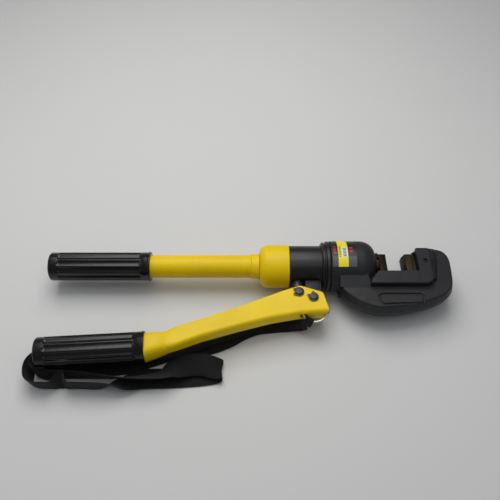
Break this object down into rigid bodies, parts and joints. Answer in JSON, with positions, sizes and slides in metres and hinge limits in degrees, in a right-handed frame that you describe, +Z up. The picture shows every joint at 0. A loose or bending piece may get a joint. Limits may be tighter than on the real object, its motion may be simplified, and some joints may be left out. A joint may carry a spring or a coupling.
{
  "type": "hydraulic rescue cutter",
  "caption": "Hand-pumped hydraulic bar cutter: open C-shaped jaw with a moving and a fixed blade, swivelling head, pump lever with grip, release knob and carrying strap.",
  "frame": {"origin": "centre of the footprint, on the surface the tool lies on", "axes": "+X along the main axis towards the head, +Y towards the open side of the jaw, +Z up"},
  "size_m": [0.5016, 0.182, 0.062],
  "materials": {
    "yellow_paint": "satin powder coat",
    "grip_plastic": "glossy moulded sleeve",
    "black_oxide": "satin black",
    "forged_black": "fine-grained black forging",
    "blade_steel": "dark hardened steel",
    "pin_steel": "blued",
    "lug_steel": "machined, grey",
    "bright_steel": "polished",
    "spring_steel": "oiled",
    "bronze": "machined",
    "seal_rubber": "matte",
    "webbing": "woven black webbing"
  },
  "bodies": {
    "body": {"main_grip": "grip_plastic", "handle_tube": "yellow_paint", "neck_ring": "yellow_paint", "tube_end_plug": "pin_steel", "oil_bladder": "seal_rubber", "reservoir_cup": "yellow_paint", "cup_seal": "seal_rubber", "cylinder_body": "black_oxide", "swivel_collar": "black_oxide", "swivel_snap_ring": "spring_steel", "swivel_seal": "seal_rubber", "suction_screen": "bronze", "suction_seat": "pin_steel", "suction_ball": "bright_steel", "suction_spring": "spring_steel", "discharge_ball": "bright_steel", "discharge_spring": "spring_steel", "overload_valve_screw": "pin_steel", "plunger_seal": "seal_rubber", "plunger_gland": "pin_steel", "pump_lug": "lug_steel"},
    "head": {"head_frame": "forged_black", "ram_guide_bush": "bronze", "ram_wiper": "seal_rubber", "fixed_blade": "blade_steel", "fixed_blade_seat": "blade_steel", "fixed_blade_screw": "pin_steel", "ram_return_spring": "spring_steel"},
    "ram": {"piston_ram": "blade_steel", "piston_seal": "seal_rubber", "piston_wear_ring": "bronze", "moving_blade": "blade_steel", "moving_blade_screw": "pin_steel"},
    "lever": {"lever_channel": "yellow_paint", "lever_grip": "grip_plastic", "fulcrum_pin": "pin_steel", "plunger_pin": "pin_steel", "fulcrum_pin_clip_upper": "pin_steel", "fulcrum_pin_clip_lower": "pin_steel", "plunger_pin_clip_upper": "pin_steel", "plunger_pin_clip_lower": "pin_steel", "strap_run": "webbing", "strap_bundle": "webbing"},
    "plunger": {"pump_plunger": "bright_steel"},
    "ring": {"strap_ring": "bright_steel", "strap_loop": "webbing"},
    "release": {"release_knob": "pin_steel"}
  },
  "joints": [
    {"name": "head_swivel", "type": "hinge", "parent": "body", "child": "head", "pos_m": [0.10175, 0.06, 0.031], "axis": [1, 0, 0], "range_deg": [-180, 0]},
    {"name": "ram_slide", "type": "slide", "parent": "head", "child": "ram", "axis": [1, 0, 0], "range_m": [0, 0.0174], "stiffness_N_per_m": 3000, "springref_m": -0.02, "deforming": ["ram_return_spring"]},
    {"name": "lever_pivot", "type": "hinge", "parent": "body", "child": "lever", "pos_m": [0.07935, 0.0094, 0.031], "axis": [0, 0, 1], "range_deg": [0, 50]},
    {"name": "plunger_slide", "type": "slide", "parent": "body", "child": "plunger", "axis": [0, -1, 0], "range_m": [0, 0.0155]},
    {"name": "ring_swing", "type": "hinge", "parent": "lever", "child": "ring", "pos_m": [0.08105, -0.009, 0.031], "axis": [1, 0, 0], "range_deg": [-15, 8]},
    {"name": "release_valve", "type": "hinge", "parent": "body", "child": "release", "pos_m": [0.06625, 0.06, 0.011], "axis": [0, 0, -1], "range_deg": [0, 90]}
  ],
  "couplings": [
    {"joint": "plunger_slide", "follows": "lever_pivot", "m_per_rad": 0.01752}
  ]
}
